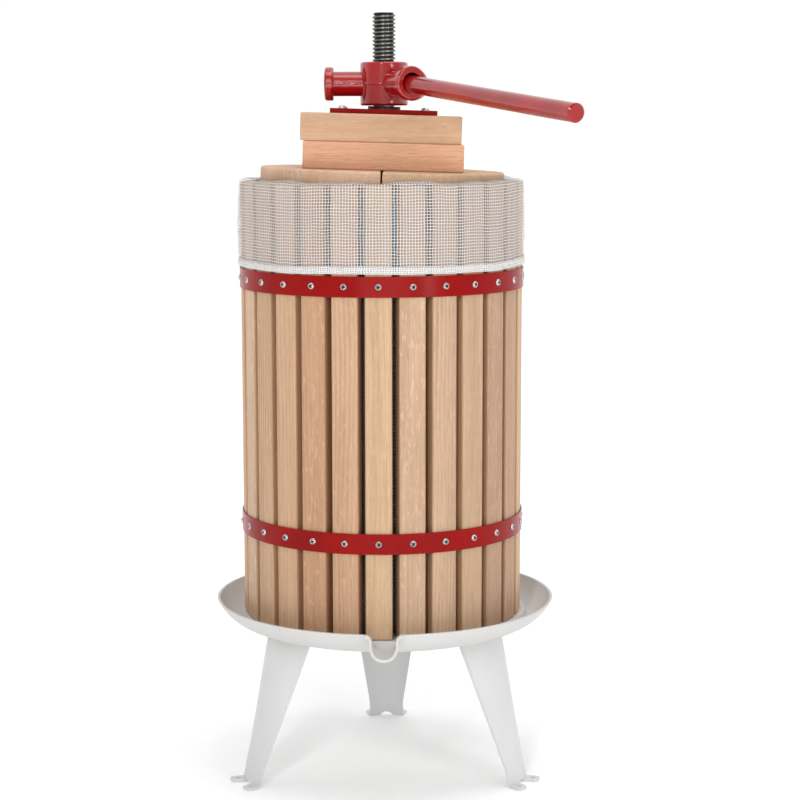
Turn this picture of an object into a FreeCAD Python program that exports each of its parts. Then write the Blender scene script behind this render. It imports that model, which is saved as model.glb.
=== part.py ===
"""Basket wine press on a three-legged drip tray, as a parametric FreeCAD document.

Millimetres, +Z up.  The origin is on the floor, on the axis of the spindle.
Angles around the press are counted from the front (-Y) towards +X.
"""
import FreeCAD, Part
import math
import os
import Sketcher

FRONT = -90.0
LEG_TURNS = {"leg_front_left": -60.0, "leg_front_right": 60.0, "leg_back": 180.0}
LEG_COUNT = str(len(LEG_TURNS))
TOUCH = 0.01

DIMENSIONS = {
    # basket: upright slats inside two hoops; its outside and its height lead the design
    "stave_face_radius": 148.0,
    "stave_length": 458.0,
    "stave_count": 27,
    "stave_gap": 3.56,
    "stave_thick": 16.0,
    "stave_edge": 2.5,
    "stave_turn": -0.8,
    "basket_shift": -3.0,
    "hoop_fit": 0.08,
    "hoop_sheet": 1.5,
    "hoop_width": 20.8,
    "hoop_inset": 99.5,
    "screw_radius": 1.6,
    "screw_length": 13.0,
    "screw_head_radius": 3.5,
    "screw_head": 2.3,
    "screw_clearance": 0.05,
    # drip tray: a pressed sheet bowl with a raised seat for the basket
    "seat_height": 171.5,
    "seat_margin": 2.5,
    "seat_slope": 3.0,
    "tray_sheet": 2.5,
    "rim_spread": 32.5,
    "rim_rise": 14.0,
    "gutter_drop": 12.7,
    "wall_curve": 47.0,
    "spindle_hole_gap": 0.5,
    # pouring lip
    "lip_overhang": 16.5,
    "lip_drop": 7.0,
    "lip_channel_radius": 12.0,
    "lip_flare": 7.0,
    "lip_wall_rise": 2.0,
    "lip_nose": 2.5,
    # legs: tapered sheet bowed outwards, with a top flange and two foot tabs
    "leg_sheet": 2.5,
    "leg_bow_margin": 6.88,
    "leg_spread": 18.8,
    "leg_lean": 0.2,
    "leg_foot_width": 38.9,
    "leg_taper": 0.2813,
    "leg_straight": 18.5,
    "leg_flange_margin": 12.0,
    "leg_flange_ear": 2.5,
    "arch_radius": 9.0,
    "arch_height": 4.0,
    "tab_turn": 17.0,
    "tab_width": 14.0,
    "tab_reach": 14.0,
    "tab_corner": 3.0,
    "tab_hole_radius": 2.75,
    "tab_hole_setback": 7.0,
    # fasteners of the stand
    "leg_bolt_radius": 3.0,
    "leg_bolt_clearance": 0.3,
    "leg_bolt_head_radius": 7.0,
    "leg_bolt_head": 3.4,
    "leg_bolt_round": 2.4,
    "leg_bolt_setback": 18.0,
    "leg_bolt_offset": 18.0,
    "leg_nut_flats": 10.0,
    "leg_nut_height": 5.0,
    "bolt_tail": 2.0,
    "spindle_nut_height": 19.0,
    "spindle_washer_margin": 3.2,
    "spindle_washer_sheet": 3.0,
    # spindle
    "spindle_radius": 12.0,
    "spindle_spare": 50.6,
    "spindle_tail": 5.0,
    "spindle_chamfer": 2.0,
    "nut_fit": 0.08,
    # pressing bag
    "bag_cloth": 1.2,
    "bag_gap": 0.3,
    "bag_hem_gap": 1.6,
    "bag_floor_gap": 0.4,
    "bag_hole_margin": 9.2,
    # pressing boards
    "disc_gap": 2.5,
    "disc_thick": 25.0,
    "disc_rise": 12.5,
    "disc_split": 2.0,
    "disc_edge": 2.0,
    "board_hole_gap": 3.5,
    "stack_lean": 1.7,
    "beam_inset": 45.75,
    "beam_width": 54.5,
    "beam_thick": 28.5,
    "beam_edge": 2.0,
    "lower_beam_shift": 1.0,
    "upper_beam_shift": -2.0,
    # thrust plate and washer
    "plate_side": 110.0,
    "plate_thick": 5.0,
    "plate_corner": 1.5,
    "plate_screw_spacing": 86.0,
    "plate_screw_radius": 2.2,
    "plate_screw_length": 22.0,
    "plate_screw_head_radius": 4.2,
    "plate_screw_head": 3.4,
    "washer_wall": 4.2,
    "washer_bore_gap": 0.8,
    "washer_thick": 3.1,
    "running_gap": 0.9,
    # press nut with its sockets
    "nut_wall": 13.0,
    "nut_height": 45.0,
    "nut_edge": 2.5,
    "socket_count": 3,
    "socket_wall": 2.1,
    "socket_depth": 30.0,
    "socket_length": 37.0,
    "collar_wall": 4.7,
    "collar_thick": 9.5,
    "collar_edge": 2.5,
    "socket_turn": 28.0,
    # handle bar, resting with a droop in its loose socket
    "bar_radius": 9.0,
    "bar_reach": 370.0,
    "bar_droop": 5.4,
    "bar_gap": 0.242,
    "bar_end_gap": 1.0,
    "bar_edge": 1.5,
    "bar_hole_radius": 1.6,
    "bar_hole_depth": 5.0,
    "bar_hole_setback": 8.0,
    # how far a cut starts or ends outside the material
    "cut_clear": 1.0,
}

doc = FreeCAD.newDocument("basket_press")
sheet = doc.addObject("Spreadsheet::Sheet", "dims")


def fill_sheet():
    """Write every driving dimension into the sheet as a plain number with an alias."""
    for row, (alias, value) in enumerate(DIMENSIONS.items(), start=1):
        sheet.set(f"A{row}", alias)
        sheet.set(f"B{row}", str(value))
        sheet.setAlias(f"B{row}", alias)
    doc.recompute()


def linked(text):
    """Turn an expression written with bare aliases into one that names the sheet."""
    words = []
    word = ""
    for letter in text + " ":
        if letter.isalnum() or letter == "_" or (letter == "." and word[:1].isdigit()):
            word += letter
            continue
        words.append(f"dims.{word}" if word in DIMENSIONS else word)
        words.append(letter)
        word = ""
    return "".join(words).strip()


def size(text):
    """The present value of an expression."""
    value = sheet.evalExpression(linked(text))
    return float(getattr(value, "Value", value))


# Heights and radii that several pieces share, each worked out once from the sheet.
BASKET_TOP = "(seat_height + stave_length)"
STAVE_INSIDE = "(stave_face_radius - stave_thick)"
STAVE_WIDTH = f"(2 * {STAVE_INSIDE} * tan(180 / stave_count) - stave_gap)"
HOOP_INNER = f"(sqrt(stave_face_radius^2 + ({STAVE_WIDTH} / 2 - stave_edge)^2) + hoop_fit)"
HOOP_OUTER = f"({HOOP_INNER} + hoop_sheet)"
HOOP_HEIGHTS = {
    "upper": f"({BASKET_TOP} - hoop_inset)",
    "lower": "(seat_height + hoop_inset)",
}

RIM_RADIUS = "(stave_face_radius + rim_spread)"
RIM_HEIGHT = "(seat_height + rim_rise)"
TRAY_UNDERSIDE = "(seat_height - gutter_drop)"
WALL_CENTRE_Z = f"({TRAY_UNDERSIDE} + wall_curve)"
WALL_CENTRE_R = f"({RIM_RADIUS} - sqrt(wall_curve^2 - ({WALL_CENTRE_Z} - {RIM_HEIGHT})^2))"
SEAT_RADIUS = "(stave_face_radius + seat_margin)"
SEAT_UNDERSIDE = "(seat_height - tray_sheet)"
LIP_REACH = f"({RIM_RADIUS} + lip_overhang)"
LIP_FLOOR = "(seat_height - lip_drop)"

FLANGE_UNDERSIDE = f"({SEAT_UNDERSIDE} - leg_sheet)"
LEG_FOOT_RADIUS = "(stave_face_radius + leg_spread)"
LEG_TOP_HALF = f"((leg_foot_width + leg_taper * ({SEAT_UNDERSIDE} - leg_straight)) / 2)"
LEG_BOW = f"({LEG_TOP_HALF} + leg_bow_margin)"
BOLT_CIRCLE = f"({LEG_FOOT_RADIUS} - leg_lean * {SEAT_UNDERSIDE} - leg_bolt_setback)"
BOLT_PLACES = [("leg_bolt_offset", BOLT_CIRCLE), ("-leg_bolt_offset", BOLT_CIRCLE)]
SPINDLE_NUT_FLATS = "(1.5 * 2 * spindle_radius)"
SPINDLE_NUT_CORNER = f"({SPINDLE_NUT_FLATS} / sqrt(3))"
SPINDLE_WASHER = f"({SPINDLE_NUT_CORNER} + spindle_washer_margin)"

LINING_OUTER = f"({STAVE_INSIDE} - bag_gap)"
LINING_INNER = f"({LINING_OUTER} - bag_cloth)"
BAG_HEM = f"({HOOP_HEIGHTS['upper']} + hoop_width / 2 + bag_hem_gap)"
BAG_FLOOR = "(seat_height + leg_bolt_head + bag_floor_gap)"
BAG_HOLE = f"({SPINDLE_NUT_CORNER} + bag_hole_margin)"
BOARD_HOLE = "(spindle_radius + board_hole_gap)"
DISC_RADIUS = f"({LINING_INNER} - disc_gap)"
DISC_TOP = f"({BASKET_TOP} + disc_rise)"
BEAM_HALF = f"({DISC_RADIUS} - beam_inset)"
UPPER_BEAM_BASE = f"({DISC_TOP} + beam_thick)"
PLATE_BASE = f"({DISC_TOP} + 2 * beam_thick)"
PLATE_TOP = f"({PLATE_BASE} + plate_thick)"
PLATE_CORNERS = "4"
WASHER_BORE = "(spindle_radius + washer_bore_gap)"

NUT_BASE = f"({PLATE_TOP} + washer_thick + running_gap)"
NUT_TOP = f"({NUT_BASE} + nut_height)"
SPINDLE_TOP = f"({NUT_TOP} + spindle_spare)"
NUT_RADIUS = "(spindle_radius + nut_wall)"
SOCKET_HEIGHT = f"({NUT_BASE} + nut_height / 2)"
SOCKET_REACH = f"({NUT_RADIUS} + socket_length)"
SOCKET_END = f"({SOCKET_REACH} - socket_depth)"
SOCKET_BORE = "(bar_radius / cos(bar_droop) + socket_depth / 2 * tan(bar_droop) + bar_gap)"
SOCKET_RADIUS = f"({SOCKET_BORE} + socket_wall)"
COLLAR_RADIUS = f"({SOCKET_RADIUS} + collar_wall)"


def bind(thing, path, text):
    thing.setExpression(path, linked(text))


def new_body(label):
    body = doc.addObject("PartDesign::Body", label)
    body.Label = label
    body.AllowCompound = True
    return body


def origin_feature(body, role):
    for feature in body.Origin.OriginFeatures:
        if feature.Role == role:
            return feature
    raise ValueError(f"{body.Label} has no {role}")


def new_sketch(body, name, plane="XY_Plane", lift="0", raise_axis="0", slide="0"):
    """A sketch on an origin plane, moved along the plane's normal by lift and along its
    own axes by slide and raise_axis."""
    sketch = body.newObject("Sketcher::SketchObject", f"{body.Label}_{name}")
    sketch.AttachmentSupport = (origin_feature(body, plane), [""])
    sketch.MapMode = "FlatFace"
    bind(sketch, "AttachmentOffset.Base.x", slide)
    bind(sketch, "AttachmentOffset.Base.y", raise_axis)
    bind(sketch, "AttachmentOffset.Base.z", lift)
    return sketch


def pin_one_way(sketch, edge, end, kind, text):
    """Hold a point at a named distance from the sketch's origin along one axis."""
    value = size(text)
    if abs(value) < 1e-9:
        axis = -2 if kind == "DistanceX" else -1
        sketch.addConstraint(Sketcher.Constraint("PointOnObject", edge, end, axis))
        return
    number = sketch.addConstraint(Sketcher.Constraint(kind, -1, 1, edge, end, value))
    bind(sketch, f"Constraints[{number}]", text)


def pin(sketch, edge, end, across, up):
    pin_one_way(sketch, edge, end, "DistanceX", across)
    pin_one_way(sketch, edge, end, "DistanceY", up)


def outline(sketch, corners, arcs=None):
    """Draw a closed outline.  arcs maps a corner's number to (centre across, centre up,
    radius, turns left) for the stretch from that corner to the next; the radius only
    starts the arc off, since its two ends and its centre hold it."""
    arcs = arcs or {}
    places = [FreeCAD.Vector(size(across), size(up), 0) for across, up in corners]
    edges = []
    for number, start in enumerate(places):
        finish = places[(number + 1) % len(places)]
        if number in arcs:
            across, up, radius, turns_left = arcs[number]
            centre = FreeCAD.Vector(size(across), size(up), 0)
            first, last = (start, finish) if turns_left else (finish, start)
            begin = math.atan2(first.y - centre.y, first.x - centre.x)
            stop = math.atan2(last.y - centre.y, last.x - centre.x)
            if stop <= begin:
                stop += 2 * math.pi
            circle = Part.Circle(centre, FreeCAD.Vector(0, 0, 1), size(radius))
            edge = sketch.addGeometry(Part.ArcOfCircle(circle, begin, stop))
            edges.append((edge, 1 if turns_left else 2, 2 if turns_left else 1))
            chord = finish - start
            if abs(chord.x) >= abs(chord.y):
                pin_one_way(sketch, edge, 3, "DistanceY", up)
            else:
                pin_one_way(sketch, edge, 3, "DistanceX", across)
        else:
            edge = sketch.addGeometry(Part.LineSegment(start, finish))
            edges.append((edge, 1, 2))
    for number, (edge, start_end, _) in enumerate(edges):
        last_edge, _, last_end = edges[number - 1]
        sketch.addConstraint(Sketcher.Constraint("Coincident", last_edge, last_end, edge, start_end))
        pin(sketch, edge, start_end, *corners[number])


def circles(sketch, places, radius):
    """Draw equal circles at the given places."""
    for across, up in places:
        centre = FreeCAD.Vector(size(across), size(up), 0)
        circle = Part.Circle(centre, FreeCAD.Vector(0, 0, 1), size(radius))
        edge = sketch.addGeometry(circle)
        pin(sketch, edge, 3, across, up)
        rule = sketch.addConstraint(Sketcher.Constraint("Radius", edge, size(radius)))
        bind(sketch, f"Constraints[{rule}]", radius)


def rectangle(sketch, left, right, low, high):
    outline(sketch, [(left, low), (right, low), (right, high), (left, high)])


def hexagon(sketch, flats, across="0", up="0"):
    """A regular hexagon with two flats square to the first axis."""
    corner = f"({flats}) / sqrt(3)"
    half = f"({flats}) / 2"
    outline(sketch, [
        (f"({across}) + {half}", f"({up}) - {corner} / 2"),
        (f"({across}) + {half}", f"({up}) + {corner} / 2"),
        (f"({across})", f"({up}) + {corner}"),
        (f"({across}) - {half}", f"({up}) + {corner} / 2"),
        (f"({across}) - {half}", f"({up}) - {corner} / 2"),
        (f"({across})", f"({up}) - {corner}"),
    ])


def pad(body, sketch, length, backwards=False):
    feature = body.newObject("PartDesign::Pad", f"{sketch.Label}_pad")
    feature.Profile = sketch
    bind(feature, "Length", length)
    feature.Reversed = backwards
    return settle(body, feature)


def pocket(body, sketch, length, backwards=False):
    """Cut away from the sketch; stops if nothing was cut."""
    before = body.Shape.Volume
    feature = body.newObject("PartDesign::Pocket", f"{sketch.Label}_cut")
    feature.Profile = sketch
    bind(feature, "Length", length)
    feature.Reversed = backwards
    settle(body, feature)
    if body.Shape.Volume > before - 1e-6:
        raise ValueError(f"{feature.Label} cuts nothing")
    return feature


def turn(body, sketch, axis="V_Axis", cut=False):
    """Revolve a sketch about one of its own axes, adding or cutting."""
    kind = "Groove" if cut else "Revolution"
    before = body.Shape.Volume if cut else 0.0
    feature = body.newObject(f"PartDesign::{kind}", f"{sketch.Label}_turned")
    feature.Profile = sketch
    feature.ReferenceAxis = (sketch, [axis])
    feature.Angle = 360.0
    settle(body, feature)
    if cut and body.Shape.Volume > before - 1e-6:
        raise ValueError(f"{feature.Label} cuts nothing")
    return feature


def settle(body, feature):
    body.Tip = feature
    doc.recompute()
    return feature


def around(body, features, count):
    """Repeat features evenly round the Z axis."""
    feature = body.newObject("PartDesign::PolarPattern", f"{features[0].Label}_ring")
    feature.Originals = features
    feature.Axis = (origin_feature(body, "Z_Axis"), [""])
    feature.Angle = 360.0
    bind(feature, "Occurrences", count)
    return settle(body, feature)


def round_edges(body, edges, radius):
    """Fillet the named edges or faces of the body's last feature."""
    base = body.Tip
    feature = body.newObject("PartDesign::Fillet", f"{body.Label}_rounding")
    feature.Base = (base, edges)
    bind(feature, "Radius", radius)
    return settle(body, feature)


def faces_where(body, test):
    """Names of the faces of a body whose middle passes a test."""
    shape = body.Shape
    return [f"Face{number}" for number, face in enumerate(shape.Faces, start=1)
            if test(face.CenterOfMass)]


def spin(body, degrees):
    """Turn a finished body about the Z axis; degrees is an expression."""
    body.Placement = FreeCAD.Placement(FreeCAD.Vector(), FreeCAD.Vector(0, 0, 1), 1.0)
    bind(body, "Placement.Rotation.Angle", degrees)


def seat_basket(body, degrees="0"):
    """Turn a basket piece and stand the loose basket a little beside the spindle's axis."""
    bind(body, "Placement", f"placement(vector(basket_shift; 0; 0); rotation({degrees}; 0; 0))")


def lean_stack(body, degrees="0", side=""):
    """Lean a board piece with the loose stack, about the middle of the plate's top."""
    slip = f"-{PLATE_TOP} * sin(stack_lean)"
    drop = f"{PLATE_TOP} * (1 - cos(stack_lean))"
    turned = f"rotation({degrees}; {side}stack_lean; 0)"
    bind(body, "Placement", f"placement(vector({slip}; 0; {drop}); {turned})")


# ---------------------------------------------------------------- stand


def drip_tray():
    """Pressed bowl: raised seat in the middle, gutter round it and a lip at the front."""
    body = new_body("drip_tray")
    lip_block(body)
    foot_r = f"({SEAT_RADIUS} + seat_slope)"
    under_r = f"({SEAT_RADIUS} - tray_sheet)"
    under_foot_r = f"({foot_r} - tray_sheet)"
    inner_curve = "(wall_curve - tray_sheet)"
    foot_z = f"({WALL_CENTRE_Z} - sqrt({inner_curve}^2 - ({foot_r} - {WALL_CENTRE_R})^2))"
    under_z = f"({WALL_CENTRE_Z} - sqrt(wall_curve^2 - ({under_foot_r} - {WALL_CENTRE_R})^2))"
    rim_inner = (f"({WALL_CENTRE_R} + sqrt({inner_curve}^2"
                 f" - ({WALL_CENTRE_Z} - {RIM_HEIGHT})^2))")

    cavity = new_sketch(body, "inside_of_bowl", "XZ_Plane")
    outline(cavity, [
        ("spindle_radius", under_z),
        (under_foot_r, under_z),
        (RIM_RADIUS, RIM_HEIGHT),
        (RIM_RADIUS, f"{RIM_HEIGHT} + lip_flare"),
        ("spindle_radius", f"{RIM_HEIGHT} + lip_flare"),
    ], {1: (WALL_CENTRE_R, WALL_CENTRE_Z, "wall_curve", True)})
    turn(body, cavity, cut=True)

    bowl = new_sketch(body, "bowl", "XZ_Plane")
    outline(bowl, [
        ("spindle_radius + spindle_hole_gap", SEAT_UNDERSIDE),
        (under_r, SEAT_UNDERSIDE),
        (under_foot_r, under_z),
        (RIM_RADIUS, RIM_HEIGHT),
        (rim_inner, RIM_HEIGHT),
        (foot_r, foot_z),
        (SEAT_RADIUS, "seat_height"),
        ("spindle_radius + spindle_hole_gap", "seat_height"),
    ], {
        2: (WALL_CENTRE_R, WALL_CENTRE_Z, "wall_curve", True),
        4: (WALL_CENTRE_R, WALL_CENTRE_Z, inner_curve, False),
    })
    turn(body, bowl)
    lip_channel(body, foot_r)
    lip_slope(body)

    bolts = new_sketch(body, "bolt_holes", "XY_Plane", "seat_height")
    circles(bolts, BOLT_PLACES, "leg_bolt_radius + leg_bolt_clearance")
    around(body, [pocket(body, bolts, "2 * tray_sheet")], LEG_COUNT)


def channel_corners(wall, top):
    """Half-round channel with flared edges; wall is added outside the channel."""
    radius = f"(lip_channel_radius + {wall})"
    flare = f"(lip_flare - {wall})"
    centre = f"({LIP_FLOOR} + lip_channel_radius)"
    shoulder = f"({centre} + lip_wall_rise)"
    wing = "(lip_channel_radius + lip_flare)"
    corners = [
        (f"-{radius}", centre), (radius, centre), (radius, shoulder),
        (wing, f"{shoulder} + {flare}"), (wing, top),
        (f"-{wing}", top), (f"-{wing}", f"{shoulder} + {flare}"),
        (f"-{radius}", shoulder),
    ]
    arcs = {
        0: ("0", centre, radius, True),
        2: (wing, shoulder, flare, False),
        6: (f"-{wing}", shoulder, flare, False),
    }
    return corners, arcs


def lip_block(body):
    """The lip's outside, as a block that the channel is then cut into."""
    block = new_sketch(body, "lip_block", "XZ_Plane", SEAT_RADIUS)
    outline(block, *channel_corners("tray_sheet", RIM_HEIGHT))
    pad(body, block, f"{LIP_REACH} - {SEAT_RADIUS}")


def lip_channel(body, start):
    """The channel that lets the juice out of the gutter."""
    channel = new_sketch(body, "lip_channel", "XZ_Plane", start)
    outline(channel, *channel_corners("0", f"{RIM_HEIGHT} + lip_flare"))
    pocket(body, channel, f"{LIP_REACH} - {start} + cut_clear", backwards=True)


def lip_slope(body):
    """The lip's side walls fall from the rim to its nose."""
    slope = new_sketch(body, "lip_slope", "YZ_Plane", "-2 * lip_channel_radius")
    outline(slope, [
        (f"-({RIM_RADIUS} - cut_clear)", f"{RIM_HEIGHT} + 2 * cut_clear"),
        (f"-({LIP_REACH} + cut_clear)", f"{LIP_FLOOR} + lip_nose - cut_clear"),
        (f"-({LIP_REACH} + cut_clear)", f"{RIM_HEIGHT} + 2 * cut_clear"),
    ])
    pocket(body, slope, "4 * lip_channel_radius", backwards=True)


def leg_section(body, name, height):
    """A slice of the bowed sheet at one height, with the middle of the leg on +X."""
    centre = f"({LEG_FOOT_RADIUS} - leg_lean * ({height}) - {LEG_BOW})"
    widening = f"leg_taper * max(0; ({height}) - leg_straight)"
    half = f"((leg_foot_width + {widening}) / 2)"
    outer = f"({centre} + sqrt({LEG_BOW}^2 - {half}^2))"
    bend = f"({LEG_BOW} - leg_sheet)"
    inner = f"({centre} + sqrt({bend}^2 - {half}^2))"
    sketch = new_sketch(body, name, "XY_Plane", height)
    outline(sketch, [
        (outer, f"-{half}"), (outer, half), (inner, half), (inner, f"-{half}"),
    ], {
        0: (centre, "0", LEG_BOW, True),
        2: (centre, "0", bend, False),
    })
    return sketch, centre, half, outer


def leg(label):
    """One leg: bowed tapering sheet, a bolted flange on top and two tabs on the floor."""
    body = new_body(label)
    foot, foot_centre, _, _ = leg_section(body, "foot", "0")
    bend = leg_section(body, "bend", "leg_straight")[0]
    top, top_centre, top_half, top_outer = leg_section(body, "top", SEAT_UNDERSIDE)
    loft = body.newObject("PartDesign::AdditiveLoft", f"{label}_sheet")
    loft.Profile = foot
    loft.Sections = [bend, top]
    loft.Ruled = True
    settle(body, loft)

    flange = new_sketch(body, "flange", "XY_Plane", SEAT_UNDERSIDE)
    inner_edge = f"({BOLT_CIRCLE} - leg_flange_margin)"
    ear = f"({top_half} + leg_flange_ear)"
    outline(flange, [
        (inner_edge, f"-{ear}"), (top_outer, f"-{ear}"), (top_outer, f"-{top_half}"),
        (top_outer, top_half), (top_outer, ear), (inner_edge, ear),
    ], {2: (top_centre, "0", LEG_BOW, True)})
    pad(body, flange, "leg_sheet", backwards=True)
    bolts = new_sketch(body, "bolt_holes", "XY_Plane", SEAT_UNDERSIDE)
    places = [(up, across) for across, up in BOLT_PLACES]
    circles(bolts, places, "leg_bolt_radius + leg_bolt_clearance")
    pocket(body, bolts, "2 * leg_sheet")

    foot_tabs(body, foot_centre)
    arch = new_sketch(body, "arch", "YZ_Plane", foot_centre)
    circles(arch, [("0", "arch_height - arch_radius")], "arch_radius")
    pocket(body, arch, f"{LEG_BOW} + leg_sheet", backwards=True)
    spin(body, f"{FRONT} + {LEG_TURNS[label]}")


def foot_tabs(body, centre):
    """Two tabs bent outwards onto the floor, each with a screw hole."""
    start = f"({LEG_BOW} - leg_sheet / 2)"
    end = f"({LEG_BOW} + tab_reach)"
    wide = "(tab_width / 2)"
    for name, side in (("left", "-"), ("right", "")):
        def place(out, across):
            along = f"{centre} + {out} * cos({side}tab_turn) - ({across}) * sin({side}tab_turn)"
            return along, f"{out} * sin({side}tab_turn) + ({across}) * cos({side}tab_turn)"
        tab = new_sketch(body, f"tab_{name}")
        outline(tab, [
            place(start, f"-{wide}"),
            place(f"({end} - tab_corner)", f"-{wide}"),
            place(end, f"-({wide} - tab_corner)"),
            place(end, f"{wide} - tab_corner"),
            place(f"({end} - tab_corner)", wide),
            place(start, wide),
        ])
        pad(body, tab, "leg_sheet")
        hole = new_sketch(body, f"tab_hole_{name}", "XY_Plane", "leg_sheet")
        circles(hole, [place(f"({end} - tab_hole_setback)", "0")], "tab_hole_radius")
        pocket(body, hole, "2 * leg_sheet")


def leg_bolts():
    """Dome-headed bolts through the seat and the leg flanges."""
    body = new_body("leg_bolts")
    heads = new_sketch(body, "heads", "XY_Plane", "seat_height")
    circles(heads, BOLT_PLACES, "leg_bolt_head_radius")
    head = pad(body, heads, "leg_bolt_head")
    shanks = new_sketch(body, "shanks", "XY_Plane", "seat_height + leg_bolt_head / 2")
    circles(shanks, BOLT_PLACES, "leg_bolt_radius")
    grip = "(leg_bolt_head / 2 + tray_sheet + leg_sheet + leg_nut_height + bolt_tail)"
    shank = pad(body, shanks, grip, backwards=True)
    around(body, [head, shank], LEG_COUNT)
    top = size("seat_height + leg_bolt_head")
    round_edges(body, faces_where(body, lambda middle: middle.z > top - TOUCH), "leg_bolt_round")


def leg_nuts():
    body = new_body("leg_nuts")
    parts = []
    for number, (across, up) in enumerate(BOLT_PLACES, start=1):
        blank = new_sketch(body, f"hexagon_{number}", "XY_Plane", FLANGE_UNDERSIDE)
        hexagon(blank, "leg_nut_flats", across, up)
        parts.append(pad(body, blank, "leg_nut_height", backwards=True))
    bore = new_sketch(body, "bore", "XY_Plane", FLANGE_UNDERSIDE)
    circles(bore, BOLT_PLACES, "leg_bolt_radius + screw_clearance")
    parts.append(pocket(body, bore, "leg_nut_height"))
    around(body, parts, LEG_COUNT)


def spindle():
    """The threaded spindle, at its thread's outside diameter, chamfered at both ends."""
    body = new_body("spindle")
    profile = new_sketch(body, "profile", "XZ_Plane")
    low = f"({SEAT_UNDERSIDE} - spindle_washer_sheet - spindle_nut_height - spindle_tail)"
    outline(profile, [
        ("0", low),
        ("spindle_radius - spindle_chamfer", low),
        ("spindle_radius", f"{low} + spindle_chamfer"),
        ("spindle_radius", f"{SPINDLE_TOP} - spindle_chamfer"),
        ("spindle_radius - spindle_chamfer", SPINDLE_TOP),
        ("0", SPINDLE_TOP),
    ])
    turn(body, profile)


def ring(label, inner, outer, low, high):
    """A plain turned ring."""
    body = new_body(label)
    section = new_sketch(body, "section", "XZ_Plane")
    rectangle(section, inner, outer, low, high)
    turn(body, section)
    return body


def spindle_nut(label, base):
    body = new_body(label)
    blank = new_sketch(body, "hexagon", "XY_Plane", base)
    hexagon(blank, SPINDLE_NUT_FLATS)
    pad(body, blank, "spindle_nut_height")
    bore = new_sketch(body, "bore", "XY_Plane", f"{base} + spindle_nut_height")
    circles(bore, [("0", "0")], "spindle_radius + screw_clearance")
    pocket(body, bore, "spindle_nut_height")


def spindle_fixings():
    """A washer and a nut above the seat and another pair below it clamp the spindle."""
    inner = "spindle_radius + spindle_hole_gap"
    above = "(seat_height + spindle_washer_sheet)"
    below = f"({SEAT_UNDERSIDE} - spindle_washer_sheet)"
    ring("spindle_washer_upper", inner, SPINDLE_WASHER, "seat_height", above)
    ring("spindle_washer_lower", inner, SPINDLE_WASHER, below, SEAT_UNDERSIDE)
    spindle_nut("spindle_nut_upper", above)
    spindle_nut("spindle_nut_lower", f"({below} - spindle_nut_height)")


# ---------------------------------------------------------------- basket

STAVE_PITCH = "360 / stave_count"
STAVE_START = f"{FRONT} + stave_turn"
SCREW_TIP = f"({HOOP_OUTER} - screw_length)"


def stave(number):
    """One upright slat with softened outer edges and two pilot holes."""
    body = new_body(f"stave_{number + 1:02d}")
    section = new_sketch(body, "section", "XY_Plane", "seat_height")
    rectangle(section, STAVE_INSIDE, "stave_face_radius",
              f"-{STAVE_WIDTH} / 2", f"{STAVE_WIDTH} / 2")
    pad(body, section, "stave_length")
    face = size("stave_face_radius")
    round_edges(body, faces_where(body, lambda middle: middle.x > face - TOUCH), "stave_edge")
    holes = new_sketch(body, "pilot_holes", "YZ_Plane", "stave_face_radius")
    places = [("0", height) for height in HOOP_HEIGHTS.values()]
    circles(holes, places, "screw_radius + screw_clearance")
    pocket(body, holes, f"stave_face_radius - {SCREW_TIP} + screw_radius")
    seat_basket(body, f"{STAVE_START} + {number} * {STAVE_PITCH}")


def hoop(name, height):
    """Flat steel band with a screw hole over every stave."""
    low = f"{height} - hoop_width / 2"
    body = ring(f"hoop_{name}", HOOP_INNER, HOOP_OUTER, low, f"{low} + hoop_width")
    hole = new_sketch(body, "screw_hole", "YZ_Plane", f"{HOOP_OUTER} + cut_clear")
    circles(hole, [("0", height)], "screw_radius + screw_clearance")
    around(body, [pocket(body, hole, "2 * (cut_clear + hoop_sheet)")], "stave_count")
    seat_basket(body, STAVE_START)


def hoop_screws(name, height):
    """Dome-headed wood screws, one through the hoop into each stave."""
    body = new_body(f"hoop_screws_{name}")
    profile = new_sketch(body, "profile", "XZ_Plane", raise_axis=height)
    dome = "((screw_head_radius^2 + screw_head^2) / (2 * screw_head))"
    outline(profile, [
        (SCREW_TIP, "0"),
        (f"{SCREW_TIP} + 2 * screw_radius", "screw_radius"),
        (HOOP_OUTER, "screw_radius"),
        (HOOP_OUTER, "screw_head_radius"),
        (f"{HOOP_OUTER} + screw_head", "0"),
    ], {3: (f"{HOOP_OUTER} + screw_head - {dome}", "0", dome, False)})
    around(body, [turn(body, profile, "H_Axis")], "stave_count")
    seat_basket(body, STAVE_START)


def press_bag():
    """The cloth bag: it lines the staves, lies on the seat and is folded over the top."""
    body = new_body("press_bag")
    section = new_sketch(body, "section", "XZ_Plane")
    fold_in = f"({HOOP_INNER} + bag_gap)"
    fold_out = f"({fold_in} + bag_cloth)"
    under_fold = f"({BASKET_TOP} + bag_gap)"
    top = f"({under_fold} + bag_cloth)"
    floor_top = f"({BAG_FLOOR} + bag_cloth)"
    outline(section, [
        (fold_in, BAG_HEM), (fold_out, BAG_HEM), (fold_out, top),
        (LINING_INNER, top), (LINING_INNER, floor_top), (BAG_HOLE, floor_top),
        (BAG_HOLE, BAG_FLOOR), (LINING_OUTER, BAG_FLOOR),
        (LINING_OUTER, under_fold), (fold_in, under_fold),
    ])
    turn(body, section)
    seat_basket(body)


# ---------------------------------------------------------------- pressing boards


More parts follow.
